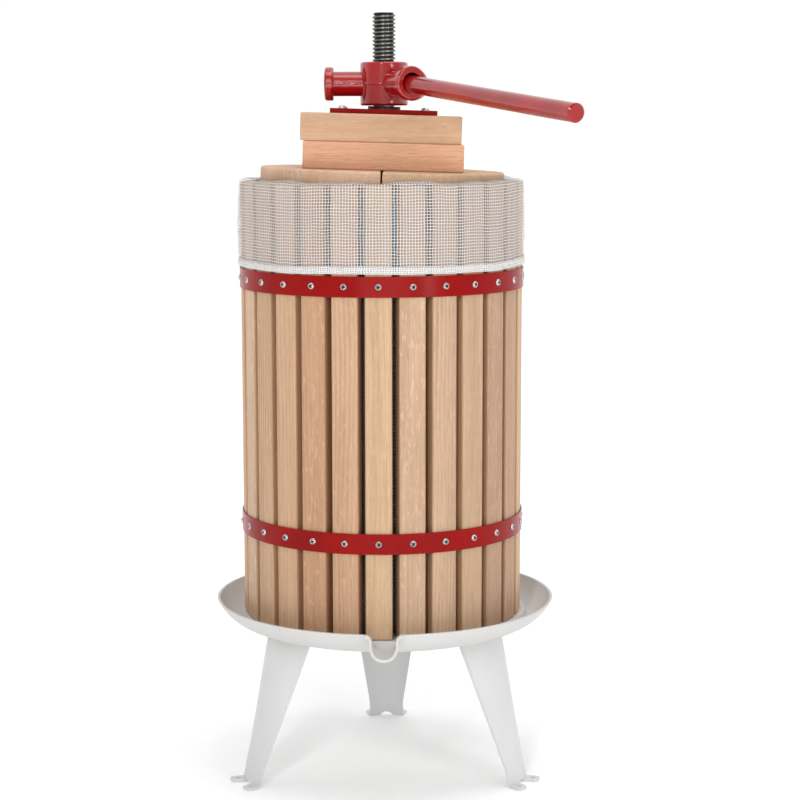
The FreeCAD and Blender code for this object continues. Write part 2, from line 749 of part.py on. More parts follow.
def half_disc(label, degrees, side):
    """One half of the round pressing board, notched for the spindle."""
    body = new_body(label)
    split = "(disc_split / 2)"
    rim = f"sqrt({DISC_RADIUS}^2 - {split}^2)"
    notch = f"sqrt({BOARD_HOLE}^2 - {split}^2)"
    plan = new_sketch(body, "plan", "XY_Plane", f"{DISC_TOP} - disc_thick")
    outline(plan, [
        (split, f"-{rim}"), (split, rim), (split, notch), (split, f"-{notch}"),
    ], {
        0: ("0", "0", DISC_RADIUS, True),
        2: ("0", "0", BOARD_HOLE, False),
    })
    pad(body, plan, "disc_thick")
    top = size(DISC_TOP)
    round_edges(body, faces_where(body, lambda middle: middle.z > top - TOUCH), "disc_edge")
    lean_stack(body, degrees, side)


def beam(label, side, base, shift, screwed=False):
    """One hardwood block beside the spindle; side is -1 at the front and 1 at the back."""
    body = new_body(label)
    near = f"{side} * {BOARD_HOLE}"
    far = f"{side} * ({BOARD_HOLE} + beam_width)"
    low, high = (near, far) if side > 0 else (far, near)
    plan = new_sketch(body, "plan", "XY_Plane", base)
    rectangle(plan, f"{shift} - {BEAM_HALF}", f"{shift} + {BEAM_HALF}", low, high)
    pad(body, plan, "beam_thick")
    edges = [f"Edge{number}" for number in range(1, len(body.Shape.Edges) + 1)]
    round_edges(body, edges, "beam_edge")
    if screwed:
        holes = new_sketch(body, "pilot_holes", "XY_Plane", f"{base} + beam_thick")
        places = [(f"{end}plate_screw_spacing / 2", f"{side} * plate_screw_spacing / 2")
                  for end in ("-", "")]
        circles(holes, places, "plate_screw_radius + screw_clearance")
        pocket(body, holes, "plate_screw_length - plate_thick + plate_screw_radius")
    lean_stack(body)


def thrust_plate():
    """Square steel plate that spreads the nut's push over the upper blocks."""
    body = new_body("thrust_plate")
    half = "(plate_side / 2)"
    cut = f"({half} - plate_corner)"
    plan = new_sketch(body, "plan", "XY_Plane", PLATE_BASE)
    outline(plan, [
        (f"-{cut}", f"-{half}"), (cut, f"-{half}"), (half, f"-{cut}"), (half, cut),
        (cut, half), (f"-{cut}", half), (f"-{half}", cut), (f"-{half}", f"-{cut}"),
    ])
    pad(body, plan, "plate_thick")
    middle = new_sketch(body, "spindle_hole", "XY_Plane", PLATE_TOP)
    circles(middle, [("0", "0")], BOARD_HOLE)
    pocket(body, middle, "plate_thick")
    holes = new_sketch(body, "screw_holes", "XY_Plane", PLATE_TOP)
    reach = "plate_screw_spacing / 2"
    places = [(f"{a}{reach}", f"{b}{reach}") for a in ("-", "") for b in ("-", "")]
    circles(holes, places, "plate_screw_radius + screw_clearance")
    pocket(body, holes, "plate_thick")
    lean_stack(body)


def thrust_plate_screws():
    """Four dome-headed screws that hold the plate on the two upper blocks."""
    body = new_body("thrust_plate_screws")
    reach = "plate_screw_spacing / 2"
    profile = new_sketch(body, "profile", "XZ_Plane", reach, slide=reach)
    tip = f"({PLATE_TOP} - plate_screw_length)"
    dome = "((plate_screw_head_radius^2 + plate_screw_head^2) / (2 * plate_screw_head))"
    outline(profile, [
        ("0", tip),
        ("plate_screw_radius", f"{tip} + 2 * plate_screw_radius"),
        ("plate_screw_radius", PLATE_TOP),
        ("plate_screw_head_radius", PLATE_TOP),
        ("0", f"{PLATE_TOP} + plate_screw_head"),
    ], {3: ("0", f"{PLATE_TOP} + plate_screw_head - {dome}", dome, True)})
    around(body, [turn(body, profile)], PLATE_CORNERS)
    lean_stack(body)


# ---------------------------------------------------------------- press nut and bar


def press_nut():
    """Cast hub with a plain running bore and three collared sockets for the bar."""
    body = new_body("press_nut")
    hub = new_sketch(body, "hub", "XZ_Plane")
    outline(hub, [
        ("0", NUT_BASE),
        (f"{NUT_RADIUS} - nut_edge", NUT_BASE),
        (NUT_RADIUS, f"{NUT_BASE} + nut_edge"),
        (NUT_RADIUS, f"{NUT_TOP} - nut_edge"),
        (f"{NUT_RADIUS} - nut_edge", NUT_TOP),
        ("0", NUT_TOP),
    ], {
        1: (f"{NUT_RADIUS} - nut_edge", f"{NUT_BASE} + nut_edge", "nut_edge", True),
        3: (f"{NUT_RADIUS} - nut_edge", f"{NUT_TOP} - nut_edge", "nut_edge", True),
    })
    turn(body, hub)

    collar = f"({SOCKET_REACH} - collar_thick)"
    rim = f"({COLLAR_RADIUS} - collar_edge)"
    arm = new_sketch(body, "socket", "XZ_Plane", raise_axis=SOCKET_HEIGHT)
    outline(arm, [
        ("spindle_radius", "0"),
        (SOCKET_REACH, "0"),
        (SOCKET_REACH, rim),
        (f"{SOCKET_REACH} - collar_edge", COLLAR_RADIUS),
        (f"{collar} + collar_edge", COLLAR_RADIUS),
        (collar, rim),
        (collar, SOCKET_RADIUS),
        ("spindle_radius", SOCKET_RADIUS),
    ], {
        2: (f"{SOCKET_REACH} - collar_edge", rim, "collar_edge", True),
        4: (f"{collar} + collar_edge", rim, "collar_edge", True),
    })
    around(body, [turn(body, arm, "H_Axis")], "socket_count")

    bore = new_sketch(body, "socket_bore", "XZ_Plane", raise_axis=SOCKET_HEIGHT)
    rectangle(bore, SOCKET_END, f"{SOCKET_REACH} + cut_clear", "0", SOCKET_BORE)
    around(body, [turn(body, bore, "H_Axis", cut=True)], "socket_count")

    thread = new_sketch(body, "spindle_bore", "XY_Plane", NUT_TOP)
    circles(thread, [("0", "0")], "spindle_radius + nut_fit")
    pocket(body, thread, "nut_height")
    spin(body, f"{FRONT} + socket_turn")


def handle_bar():
    """Round bar that leans down in its socket, with chamfered ends and a cross hole."""
    body = new_body("handle_bar")
    pivot = f"({SOCKET_REACH} - socket_depth / 2)"
    inner = f"(({SOCKET_END} + bar_end_gap - {pivot}) / cos(bar_droop))"
    outer = f"((bar_reach - {pivot}) / cos(bar_droop))"
    profile = new_sketch(body, "profile", "XZ_Plane")
    outline(profile, [
        (inner, "0"),
        (inner, "bar_radius - bar_edge"),
        (f"{inner} + bar_edge", "bar_radius"),
        (f"{outer} - bar_edge", "bar_radius"),
        (outer, "bar_radius - bar_edge"),
        (outer, "0"),
    ])
    turn(body, profile, "H_Axis")
    hole = new_sketch(body, "hole", "XY_Plane", "-bar_radius - cut_clear")
    circles(hole, [(f"{outer} - bar_hole_setback", "0")], "bar_hole_radius")
    pocket(body, hole, "bar_hole_depth + cut_clear", backwards=True)
    turned = f"({FRONT} + socket_turn)"
    base = f"vector({pivot} * cos({turned}); {pivot} * sin({turned}); {SOCKET_HEIGHT})"
    bind(body, "Placement", f"placement({base}; rotation({turned}; bar_droop; 0))")


# ---------------------------------------------------------------- whole press


def build():
    drip_tray()
    for label in LEG_TURNS:
        leg(label)
    leg_bolts()
    leg_nuts()
    spindle()
    spindle_fixings()

    for number in range(int(DIMENSIONS["stave_count"])):
        stave(number)
    for name, height in HOOP_HEIGHTS.items():
        hoop(name, height)
        hoop_screws(name, height)
    press_bag()

    half_disc("half_disc_right", "0", "")
    half_disc("half_disc_left", "180", "-")
    for name, side in (("front", -1), ("back", 1)):
        beam(f"lower_beam_{name}", side, DISC_TOP, "lower_beam_shift")
        beam(f"upper_beam_{name}", side, UPPER_BEAM_BASE, "upper_beam_shift", screwed=True)
    thrust_plate()
    thrust_plate_screws()
    washer = ring("thrust_washer", WASHER_BORE, f"{WASHER_BORE} + washer_wall", PLATE_TOP,
                  f"{PLATE_TOP} + washer_thick")
    lean_stack(washer)
    press_nut()
    handle_bar()


def check_document():
    """Stop if any object failed or any piece is missing or invalid."""
    for thing in doc.Objects:
        if "Invalid" in thing.State or "Error" in thing.State:
            raise ValueError(f"{thing.Label} failed: {thing.State}")
    bodies = [thing for thing in doc.Objects if thing.isDerivedFrom("PartDesign::Body")]
    for body in bodies:
        if body.Shape.isNull() or not body.Shape.isValid():
            raise ValueError(f"{body.Label} has no valid shape")
    return bodies


def export(bodies):
    os.makedirs("parts", exist_ok=True)
    for body in bodies:
        body.Shape.exportStep(f"parts/{body.Label}.step")


fill_sheet()
build()
doc.recompute()
finished = check_document()
export(finished)
print(len(finished), "pieces written")
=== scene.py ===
import math

import bpy
import numpy as np
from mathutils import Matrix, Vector


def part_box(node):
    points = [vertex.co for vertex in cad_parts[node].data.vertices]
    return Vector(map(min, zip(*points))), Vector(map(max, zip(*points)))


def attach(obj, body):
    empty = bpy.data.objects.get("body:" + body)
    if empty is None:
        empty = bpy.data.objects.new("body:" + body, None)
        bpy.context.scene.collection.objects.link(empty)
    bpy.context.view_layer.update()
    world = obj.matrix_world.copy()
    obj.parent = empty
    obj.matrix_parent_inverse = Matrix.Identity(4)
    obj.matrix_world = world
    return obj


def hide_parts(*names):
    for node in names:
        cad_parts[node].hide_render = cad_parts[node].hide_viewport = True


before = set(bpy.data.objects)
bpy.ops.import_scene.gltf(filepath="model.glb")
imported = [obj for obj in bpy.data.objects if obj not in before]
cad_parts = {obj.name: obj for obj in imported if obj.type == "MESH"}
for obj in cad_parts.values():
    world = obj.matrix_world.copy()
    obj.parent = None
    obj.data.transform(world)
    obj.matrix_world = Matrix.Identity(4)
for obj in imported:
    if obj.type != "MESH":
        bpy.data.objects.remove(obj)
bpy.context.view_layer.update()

MM = 0.001
FULL_TURN = 2.0 * math.pi
FRONT = math.radians(-90.0)
STAVES = [f"stave_{number:02d}" for number in range(1, 28)]
STAVE_TURN = math.radians(-0.8)
STAVE_HALF_WIDTH = 13.65 * MM
BASKET_X = sum(corner.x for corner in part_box("hoop_upper")) / 2.0
STACK_LEAN = math.radians(1.7)
SOCKET_COUNT = 3
SOCKET_TURN = math.radians(28.0)
SOCKET_STEP = math.radians(120.0)
THREAD_PITCH = 4.0 * MM
THREAD_DEPTH = 2.0 * MM
END_CHAMFER = 2.0 * MM
SPINDLE_RADIUS = 12.0 * MM


# ---------------------------------------------------------------- node helpers


class Shader:
    """One node material with a Principled surface, built a node at a time."""

    def __init__(self, name):
        self.material = bpy.data.materials.new(name)
        self.material.use_nodes = True
        self.tree = self.material.node_tree
        self.tree.nodes.clear()
        output = self.new("OutputMaterial")
        self.surface = self.new("BsdfPrincipled")
        self.tree.links.new(self.surface.outputs[0], output.inputs["Surface"])
        self.place = self.new("TexCoord").outputs["Object"]

    def new(self, kind):
        return self.tree.nodes.new("ShaderNode" + kind)

    def put(self, socket, value):
        """Link a socket to the input, or set the input's own value."""
        if isinstance(value, bpy.types.NodeSocket):
            self.tree.links.new(value, socket)
        else:
            socket.default_value = value

    def set(self, **values):
        """Set or link the surface's sockets; underscores stand for spaces."""
        for name, value in values.items():
            self.put(self.surface.inputs[name.replace("_", " ")], value)

    def math(self, operation, *values):
        node = self.new("Math")
        node.operation = operation
        for socket, value in zip(node.inputs, values):
            self.put(socket, value)
        return node.outputs[0]

    def times(self, first, second):
        return self.math("MULTIPLY", first, second)

    def parts(self, vector):
        node = self.new("SeparateXYZ")
        self.put(node.inputs[0], vector)
        return node.outputs

    def reach(self, vector):
        """Distance of a place from its Z axis."""
        x, y, _ = self.parts(vector)
        return self.math("SQRT", self.math("ADD", self.times(x, x), self.times(y, y)))

    def flat(self):
        """Metres along a cloth, from the UV map that mesh_object writes."""
        node = self.new("UVMap")
        node.uv_map = "flat"
        return node.outputs[0]

    def mapping(self, vector, turn=(0, 0, 0), scale=(1, 1, 1), shift=(0, 0, 0)):
        node = self.new("Mapping")
        self.put(node.inputs["Vector"], vector)
        node.inputs["Rotation"].default_value = turn
        node.inputs["Scale"].default_value = scale
        node.inputs["Location"].default_value = shift
        return node.outputs[0]

    def noise(self, vector, scale=1.0, detail=2.0, roughness=0.5, distortion=0.0):
        """Noise with scale cells a metre; a tuple gives each axis its own scale."""
        if isinstance(scale, tuple):
            vector = self.mapping(vector, scale=scale)
            scale = 1.0
        node = self.new("TexNoise")
        self.put(node.inputs["Vector"], vector)
        node.inputs["Scale"].default_value = scale
        node.inputs["Detail"].default_value = detail
        node.inputs["Roughness"].default_value = roughness
        node.inputs["Distortion"].default_value = distortion
        return node.outputs["Fac"]

    def range(self, value, low, high, to_low=0.0, to_high=1.0, smooth=False):
        node = self.new("MapRange")
        if smooth:
            node.interpolation_type = "SMOOTHSTEP"
        for name, number in (("Value", value), ("From Min", low), ("From Max", high),
                             ("To Min", to_low), ("To Max", to_high)):
            self.put(node.inputs[name], number)
        return node.outputs[0]

    def ramp(self, value, stops):
        node = self.new("ValToRGB")
        self.put(node.inputs[0], value)
        elements = node.color_ramp.elements
        while len(elements) < len(stops):
            elements.new(0.5)
        for element, (position, colour) in zip(elements, stops):
            element.position = position
            element.color = (*colour, 1.0)
        return node.outputs[0]

    def mix(self, share, first, second):
        """The first colour at share 0 and the second at share 1."""
        node = self.new("Mix")
        node.data_type = "RGBA"
        self.put(node.inputs["Factor"], share)
        colours = [socket for socket in node.inputs if socket.type == "RGBA"]
        for socket, value in zip(colours, (first, second)):
            self.put(socket, (*value, 1.0) if isinstance(value, tuple) else value)
        return [socket for socket in node.outputs if socket.type == "RGBA"][0]

    def bump(self, height, distance, strength, below=None):
        """Normals of a height; below is the coarser bump it lies on."""
        node = self.new("Bump")
        self.put(node.inputs["Height"], height)
        node.inputs["Distance"].default_value = distance
        node.inputs["Strength"].default_value = strength
        if below is not None:
            self.put(node.inputs["Normal"], below)
        return node.outputs[0]


def linear(red, green, blue):
    """A linear colour from its 0-255 screen values, by the sRGB curve."""
    def one(value):
        value /= 255.0
        return value / 12.92 if value <= 0.04045 else ((value + 0.055) / 1.055) ** 2.4
    return (one(red), one(green), one(blue))


def shaded(colour, factor):
    return tuple(channel * factor for channel in colour)


# ---------------------------------------------------------------- materials


# Noise cells a metre: twice across the grain, then along it.
FIGURE_CELLS = (38, 38, 1.6)
WARP_CELLS = (16, 16, 2.4)
FIBRE_CELLS = (1300, 1300, 14)
PORE_CELLS = (1900, 1900, 60)
RAY_CELLS = (520, 330, 95)
PATCH_CELLS = (55, 55, 5)
# Growth rings: the lowest of their rates in radians a metre, the step between the rates and how
# many there are, and how far in metres the rings wander.
RING_RATE = 1150.0
RING_RATE_STEP = 90.0
RING_RATE_COUNT = 5
RING_WANDER = 0.022
# How strongly each layer of the wood shows, from 0 to 1.
RING_SHARE = 0.75
FIBRE_SHARE = 0.50
PORE_SHARE = 0.38
# Painted shade, not a layer of the wood: the darker flanks where the slats face the gaps between
# them.
FLANK_SHADE_SHARE = 0.55
# How far in from a slat's flank its painted shade reaches.
FLANK_SHADE_EDGE = 0.7 * MM
# How far in metres each seed moves the grain, so that no two pieces match.
SEED_STEP = (0.713, 0.377, 0.191)


def wood(name, tone, seed, turn, along="Z", fleck=0.25, ring=0.5, side_at=None):
    """Planed hardwood; along is the axis of the grain and turn swings it about Z first.

    side_at is a slat's half width, where its flanks are; they get a painted shade in a warmer brown
    for the dark gaps between slats.
    """
    s = Shader(name)
    centred = s.mapping(s.place, shift=(-BASKET_X if side_at else 0.0, 0.0, 0.0))
    level = s.mapping(centred, turn=(0, 0, -turn))
    stand = (0, math.radians(-90.0), 0) if along == "X" else (0, 0, 0)
    local = s.mapping(level, turn=stand, shift=tuple(seed * step for step in SEED_STEP))

    figure = s.noise(local, FIGURE_CELLS, detail=3.0, roughness=0.55)
    wander = s.times(s.noise(local, WARP_CELLS), RING_WANDER)
    rate = RING_RATE + RING_RATE_STEP * (seed % RING_RATE_COUNT)
    rings = s.math("SINE", s.times(s.math("ADD", s.parts(local)[1], wander), rate))
    rings = s.math("POWER", s.range(rings, -1.0, 1.0), 1.6)
    patches = s.range(s.noise(local, PATCH_CELLS, detail=1.0), 0.35, 0.65, to_low=0.25)
    fibre = s.noise(local, FIBRE_CELLS, roughness=0.6)
    pores = s.range(s.noise(local, PORE_CELLS, detail=1.0), 0.62, 0.74)
    rays = s.range(s.noise(local, RAY_CELLS, detail=1.0, distortion=0.6), 0.60, 0.68)

    pale = shaded(tone, 1.16)
    deep = shaded((tone[0], tone[1] * 0.93, tone[2] * 0.84), 0.82)
    colour = s.ramp(figure, [(0.28, deep), (0.5, tone), (0.74, pale)])
    lines = s.times(rings, s.times(patches, ring * RING_SHARE))
    colour = s.mix(lines, colour, shaded(deep, 0.76))
    colour = s.mix(s.range(fibre, 0.3, 0.7, to_high=FIBRE_SHARE), colour, shaded(deep, 0.70))
    colour = s.mix(s.times(rays, fleck), colour, shaded(pale, 1.06))
    colour = s.mix(s.times(pores, PORE_SHARE), colour, shaded(deep, 0.46))
    # Painted shade: the slats' flanks, towards the dark gaps between slats, are darkened to a
    # warmer brown.
    if side_at is not None:
        flank = s.range(s.math("ABSOLUTE", s.parts(level)[1]), side_at - FLANK_SHADE_EDGE, side_at)
        flank_shade = shaded((deep[0], deep[1] * 0.80, deep[2] * 0.62), 0.70)
        colour = s.mix(s.times(flank, FLANK_SHADE_SHARE), colour, flank_shade)
    height = s.math("SUBTRACT", fibre, s.times(pores, 0.8))
    s.set(Base_Color=colour,
          Roughness=s.range(fibre, 0.2, 0.8, to_low=0.50, to_high=0.66),
          Specular_IOR_Level=0.35,
          Normal=s.bump(height, distance=0.22 * MM, strength=0.75))
    return s.material


def red_paint(name, tone, shine, cast=0.0):
    """Red powder coat; shine is its clear gloss and cast the lumps of a casting below it."""
    s = Shader(name)
    peel = s.noise(s.place, scale=520.0)
    shade = s.noise(s.place, scale=24.0, detail=3.0)
    grit = s.range(s.noise(s.place, scale=1500.0, detail=1.0), 0.70, 0.78)
    colour = s.ramp(shade, [(0.3, shaded(tone, 0.84)), (0.5, tone), (0.72, shaded(tone, 1.12))])
    colour = s.mix(s.times(grit, 0.35), colour, shaded(tone, 0.45))
    normal = s.bump(peel, distance=0.12 * MM, strength=0.35)
    if cast:
        lumps = s.noise(s.place, scale=95.0, detail=3.0, roughness=0.6)
        normal = s.bump(lumps, distance=1.1 * MM, strength=cast, below=normal)
    s.set(Base_Color=colour,
          Roughness=s.range(peel, 0.3, 0.7, to_low=0.17, to_high=0.27),
          Specular_IOR_Level=0.12 + 0.3 * shine,
          Coat_Weight=shine,
          Coat_Roughness=0.05,
          Normal=normal)
    return s.material


def enamel(name, tone, gloss):
    """Satin white enamel or paint on pressed sheet; gloss is its lowest roughness."""
    s = Shader(name)
    peel = s.noise(s.place, scale=310.0)
    shade = s.noise(s.place, scale=9.0, detail=3.0)
    specks = s.range(s.noise(s.place, scale=620.0, detail=1.0), 0.735, 0.78)
    colour = s.ramp(shade, [(0.3, shaded(tone, 0.955)), (0.7, tone)])
    colour = s.mix(s.times(specks, 0.07), colour, shaded(tone, 0.7))
    s.set(Base_Color=colour,
          Roughness=s.range(peel, 0.3, 0.7, to_low=gloss, to_high=gloss + 0.1),
          Specular_IOR_Level=0.35,
          Normal=s.bump(peel, distance=0.1 * MM, strength=0.08))
    return s.material


def steel(name, tone, rough, grime_and_shade=0.3):
    """Plated or bare steel with fine scratches and a little grime."""
    s = Shader(name)
    fine = s.noise(s.place, scale=(900, 900, 2600))
    dirt = s.noise(s.place, scale=160.0, detail=4.0, roughness=0.65)
    colour = s.ramp(dirt, [(0.3, shaded(tone, 1.0 - grime_and_shade)), (0.6, tone), (0.8, shaded(tone, 1.1))])
    s.set(Base_Color=colour,
          Roughness=s.range(fine, 0.25, 0.75, to_low=rough, to_high=rough + 0.18),
          Metallic=1.0,
          Normal=s.bump(fine, distance=0.06 * MM, strength=0.4))
    return s.material


def thread_steel(crest, root):
    """Dark cut thread: bright worn crests, oily dark roots."""
    oily = (0.035, 0.033, 0.030)
    bright = (0.26, 0.25, 0.235)
    s = Shader("thread_steel")
    rise = s.range(s.reach(s.place), root, crest)
    worn = s.noise(s.place, scale=260.0, detail=3.0)
    share = s.times(s.math("POWER", rise, 2.0), s.range(worn, 0.3, 0.65, to_low=0.55))
    s.set(Base_Color=s.mix(share, oily, bright),
          Roughness=s.range(share, 0.0, 1.0, to_low=0.5, to_high=0.27),
          Metallic=1.0,
          Normal=s.bump(worn, distance=0.1 * MM, strength=0.4))
    return s.material


# Painted shade: the net is darkened inside the slats, where the lining lies in shadow, and left
# unshaded outside them, by distance from the basket's middle.
NET_SHADE_REACH = 0.134
NET_UNSHADED_REACH = 0.141


def net(name, pitch, yarn, tone):
    """Open woven net: two sets of round yarns, one every pitch metres, and clear cells."""
    s = Shader(name)
    flat = s.flat()
    drift = s.noise(flat, scale=(60, 60, 60))
    u, v, _ = s.parts(flat)
    heights = []
    for axis, slip in ((u, 0.5), (v, 0.9)):
        shifted = s.math("ADD", axis, s.times(drift, slip * pitch))
        phase = s.math("FRACT", s.math("DIVIDE", shifted, pitch))
        away = s.math("ABSOLUTE", s.math("SUBTRACT", phase, 0.5))
        heights.append(s.range(away, 0.5 - yarn / pitch / 2.0, 0.5))
    thick = s.math("MAXIMUM", *heights)
    strand = s.noise(flat, scale=(4200, 4200, 1), detail=1.0)
    colour = s.mix(s.range(strand, 0.3, 0.7), shaded(tone, 0.86), tone)
    reach = s.reach(s.mapping(s.place, shift=(-BASKET_X, 0.0, 0.0)))
    # inside is the share of painted shade on the net: 1 within the slats, 0 outside them.
    inside = s.range(reach, NET_SHADE_REACH, NET_UNSHADED_REACH, to_low=1.0, to_high=0.0)
    s.set(Base_Color=s.mix(inside, colour, shaded(tone, 0.12)),
          Roughness=0.55,
          Alpha=s.range(thick, 0.0, 0.22),
          Sheen_Weight=0.2,
          Normal=s.bump(thick, distance=0.4 * MM, strength=0.9))
    return s.material


# Radians a metre of the hem's weave, its stitches and its rows of stitches.
HEM_WEAVE_RATE = 2600.0
STITCH_RATE = 2200.0
STITCH_ROW_RATE = 1396.0
# Radians that the weave wanders by.
HEM_LOOSENESS = 9.0
STITCH_WHITE = (0.95, 0.95, 0.95)


def hem_cloth(tone):
    """The net doubled over and sewn: dense weave with rows of stitches."""
    s = Shader("hem_cloth")
    flat = s.flat()
    u, v, _ = s.parts(flat)
    loose = s.times(s.noise(flat, scale=(90, 90, 90)), HEM_LOOSENESS)
    yarns = []
    for axis in (u, v):
        yarns.append(s.math("SINE", s.math("ADD", s.times(axis, HEM_WEAVE_RATE), loose)))
    weave = s.math("MAXIMUM", *yarns)
    stitch = s.math("SINE", s.times(u, STITCH_RATE))
    rows = s.math("SINE", s.times(v, STITCH_ROW_RATE))
    sewn = s.range(s.times(stitch, rows), 0.3, 0.8)
    colour = s.mix(s.range(weave, -0.2, 0.9), shaded(tone, 0.72), tone)
    s.set(Base_Color=s.mix(s.times(sewn, 0.4), colour, STITCH_WHITE),
          Roughness=0.7,
          Alpha=s.range(weave, -0.15, 0.35, to_low=0.12),
          Sheen_Weight=0.25,
          Normal=s.bump(s.math("ADD", weave, sewn), distance=0.3 * MM, strength=0.7))
    return s.material


def paint_node(node, material):
    """Give a CAD node its material in every slot."""
    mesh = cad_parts[node].data
    mesh.materials.clear()
    mesh.materials.append(material)


# ---------------------------------------------------------------- mesh helpers


def mesh_object(name, points, faces, material, body, smooth=True, uv=None):
    """A new object on a body, from points in metres; uv is metres along the cloth."""
    mesh = bpy.data.meshes.new(name)
    mesh.from_pydata([tuple(point) for point in points], [], faces)
    if uv is not None:
        layer = mesh.uv_layers.new(name="flat")
        corners = np.empty(len(mesh.loops), np.int32)
        mesh.loops.foreach_get("vertex_index", corners)
        layer.data.foreach_set("uv", np.asarray(uv, np.float32)[corners].ravel())
    mesh.polygons.foreach_set("use_smooth", [smooth] * len(mesh.polygons))
    mesh.materials.append(material)
    mesh.update()
    made = bpy.data.objects.new(name, mesh)
    bpy.context.scene.collection.objects.link(made)
    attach(made, body)
    return made


def grid_faces(rows, columns, closed=False, start=0):
    """Quads of a grid of points stored row by row; closed joins the last column to the first."""
    faces = []
    for row in range(rows - 1):
        for column in range(columns if closed else columns - 1):
            after = (column + 1) % columns
            a = start + row * columns
            b = a + columns
            faces.append((a + column, a + after, b + after, b + column))
    return faces


def around_axis(radius, angle, height):
    return (radius * math.cos(angle), radius * math.sin(angle), height)


def round_basket(radius, angle, height):
    x, y, z = around_axis(radius, angle, height)
    return (x + BASKET_X, y, z)


# ---------------------------------------------------------------- spindle


def cut_spindle(material):
    """The spindle with its real helical thread from end to end."""
    low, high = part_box("spindle")
    crest = high.x
    root = crest - THREAD_DEPTH
    end_radius = crest - END_CHAMFER
    steps = 40
    # Shares of the pitch and the radius there, along one tooth.
    tooth = ((0.0, root), (0.36, root), (0.5, crest), (0.86, crest), (1.0, root))
    turns = int((high.z - low.z) / THREAD_PITCH) + 1
    columns = turns * steps + 1
    points = []
    for share, radius in tooth:
        for step in range(columns):
            rise = low.z + THREAD_PITCH * (step / steps + share - 1.0)
            height = min(max(rise, low.z), high.z)
            from_end = min(height - low.z, high.z - height)
            limit = end_radius + from_end
            points.append(around_axis(min(radius, limit), FULL_TURN * step / steps, height))
    faces = grid_faces(len(tooth), columns)
    for height in (low.z, high.z):
        centre = len(points)
        points.append((0.0, 0.0, height))
        for step in range(steps):
            points.append(around_axis(end_radius, FULL_TURN * step / steps, height))
        for step in range(steps):
            one = centre + 1 + step
            two = centre + 1 + (step + 1) % steps
            faces.append((centre, one, two) if height == high.z else (centre, two, one))
    screw = mesh_object("cut_spindle", points, faces, material, "stand", smooth=False)
    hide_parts("spindle")


# ---------------------------------------------------------------- screws


# Head radius, dome height, shank radius and length.
HOOP_SCREW = (3.5 * MM, 2.3 * MM, 1.6 * MM, 12.8 * MM)
PLATE_SCREW = (4.2 * MM, 3.4 * MM, 2.2 * MM, 21.8 * MM)
# How far a head's rim goes into what it holds, and the radius that a shank's point ends in.
HEAD_SKIRT = 0.3 * MM
TIP_RADIUS = 0.1 * MM
# The driver's cross in shares of the head's radius: where its slots, their ends and its core run
# out, how wide their slopes are, and how far the painted shade in it reaches.
CROSS_SLOPE = 0.16
CROSS_EDGE = 1.6 * CROSS_SLOPE
CROSS_REACH = 0.66
CORE_REACH = 0.42
CORE_SLOPE = 0.2
RECESS_SHADE_REACH = 0.62
RECESS_SHADE_WIDTH = 0.2
# The cross's depth as a share of the dome's height, and how much of it is lost towards the rim.
RECESS_DEPTH = 0.55
CROSS_SHALLOWS = 0.5
# Radians that each screw is turned past the one before it, and that the first one is turned.
HOOP_SPIN_STEP = 0.7
FIRST_SPIN = {"upper": 0.4, "lower": 0.0}
PLATE_SPIN_STEP = 0.9
PLATE_FIRST_SPIN = 0.3
# The thrust plate's half width, and its screws' distance from its middle.
PLATE_HALF_WIDTH = 55.0 * MM
PLATE_SCREW_REACH = 43.0 * MM


def clamped(value):
    return min(1.0, max(0.0, value))


def ring_point(height, reach, spoke, spokes):
    """A point of a screw as (outward, side, up), on one of the spokes round it."""
    angle = FULL_TURN * spoke / spokes
    return (height, reach * math.cos(angle), reach * math.sin(angle))


def head_patch(radius, dome, recess):
    """A domed head with a cross recess, as rings of (outward, side, up) points and faces."""
    spokes = 36
    rings = 13
    curve = (radius * radius + dome * dome) / (2.0 * dome)
    points = [(dome - recess, 0.0, 0.0)]
    for ring in range(1, rings + 1):
        reach = radius * ring / rings
        for spoke in range(spokes):
            _, side, up = ring_point(0.0, reach, spoke, spokes)
            height = dome - (curve - math.sqrt(curve * curve - reach * reach))
            arm = max(abs(side), abs(up))
            width = min(abs(side), abs(up))
            inside = 0.0
            if arm < CROSS_REACH * radius:
                inside = clamped((CROSS_EDGE * radius - width) / (CROSS_SLOPE * radius))
            core = clamped((CORE_REACH * radius - reach) / (CORE_SLOPE * radius))
            height -= recess * max(inside, core) * (1.0 - CROSS_SHALLOWS * arm / radius)
            points.append((height, side, up))
    points += [(-HEAD_SKIRT, side, up) for _, side, up in points[-spokes:]]
    faces = [(0, 1 + spoke, 1 + (spoke + 1) % spokes) for spoke in range(spokes)]
    faces += grid_faces(rings + 1, spokes, closed=True, start=1)
    return points, faces


def shank_rings(radius, length):
    """A plain shank with a point, below the head, in the same coordinates."""
    spokes = 12
    stations = ((0.0, radius), (-length + 2 * radius, radius), (-length, TIP_RADIUS))
    points = []
    for height, reach in stations:
        points += [ring_point(height, reach, spoke, spokes) for spoke in range(spokes)]
    return points, grid_faces(len(stations), spokes, closed=True)


def in_recess(face, head, radius):
    """Whether a face of the head lies in the driver's cross, which gets the painted shade."""
    side = sum(head[index][1] for index in face) / len(face)
    up = sum(head[index][2] for index in face) / len(face)
    arm = max(abs(side), abs(up))
    width = min(abs(side), abs(up))
    return arm < RECESS_SHADE_REACH * radius and width < RECESS_SHADE_WIDTH * radius


